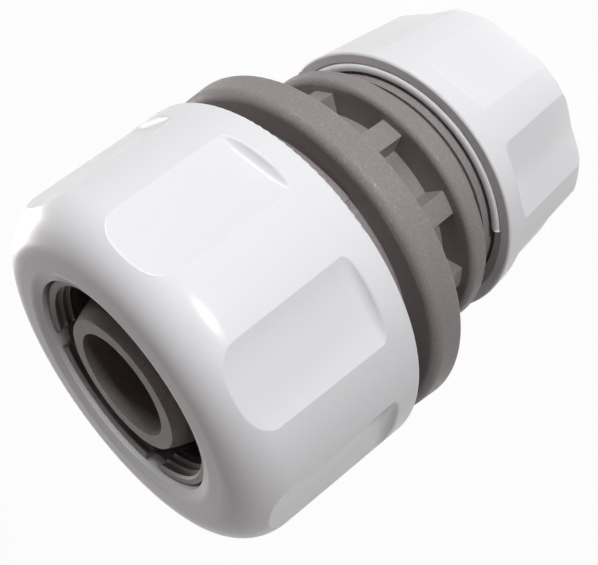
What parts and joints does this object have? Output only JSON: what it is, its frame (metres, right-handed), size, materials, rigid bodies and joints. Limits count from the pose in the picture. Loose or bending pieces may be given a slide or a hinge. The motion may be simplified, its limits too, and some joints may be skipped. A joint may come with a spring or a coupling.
{
  "type": "hose repair connector",
  "caption": "Straight reducing connector that joins a wide and a narrow garden hose: ribbed core with barbed stems, a screw-on clamping nut and grip ring at each end.",
  "frame": {"origin": "centre of the small nut's end face, which the connector stands on", "axes": "+Z along the connector's axis from the small end to the large end; +X passes 3 degrees beside the middle of one rib"},
  "size_m": [0.0458, 0.0458, 0.0628],
  "materials": {
    "core_grey": "satin",
    "nut_white": "gloss",
    "ring_grey": "satin"
  },
  "bodies": {
    "core": {"connector_body": "core_grey"},
    "large_ring": {"large_grip_ring": "ring_grey"},
    "large_nut": {"large_nut": "nut_white"},
    "small_ring": {"small_grip_ring": "ring_grey"},
    "small_nut": {"small_nut": "nut_white"}
  },
  "joints": [
    {"name": "large_ring_slide", "type": "slide", "parent": "core", "child": "large_ring", "axis": [0, 0, 1], "range_m": [-0.00321, 0.00481]},
    {"name": "large_nut_turn", "type": "hinge", "parent": "large_ring", "child": "large_nut", "pos_m": [0, 0, 0.0517], "axis": [0, 0, 1], "range_deg": [-384, 576]},
    {"name": "small_ring_slide", "type": "slide", "parent": "core", "child": "small_ring", "axis": [0, 0, -1], "range_m": [-0.00301, 0.00301]},
    {"name": "small_nut_turn", "type": "hinge", "parent": "small_ring", "child": "small_nut", "pos_m": [0, 0, 0.0091], "axis": [0, 0, -1], "range_deg": [-360, 360]}
  ],
  "couplings": [
    {"joint": "large_ring_slide", "follows": "large_nut_turn", "m_per_rad": 0.00047746},
    {"joint": "small_ring_slide", "follows": "small_nut_turn", "m_per_rad": 0.00047746}
  ]
}
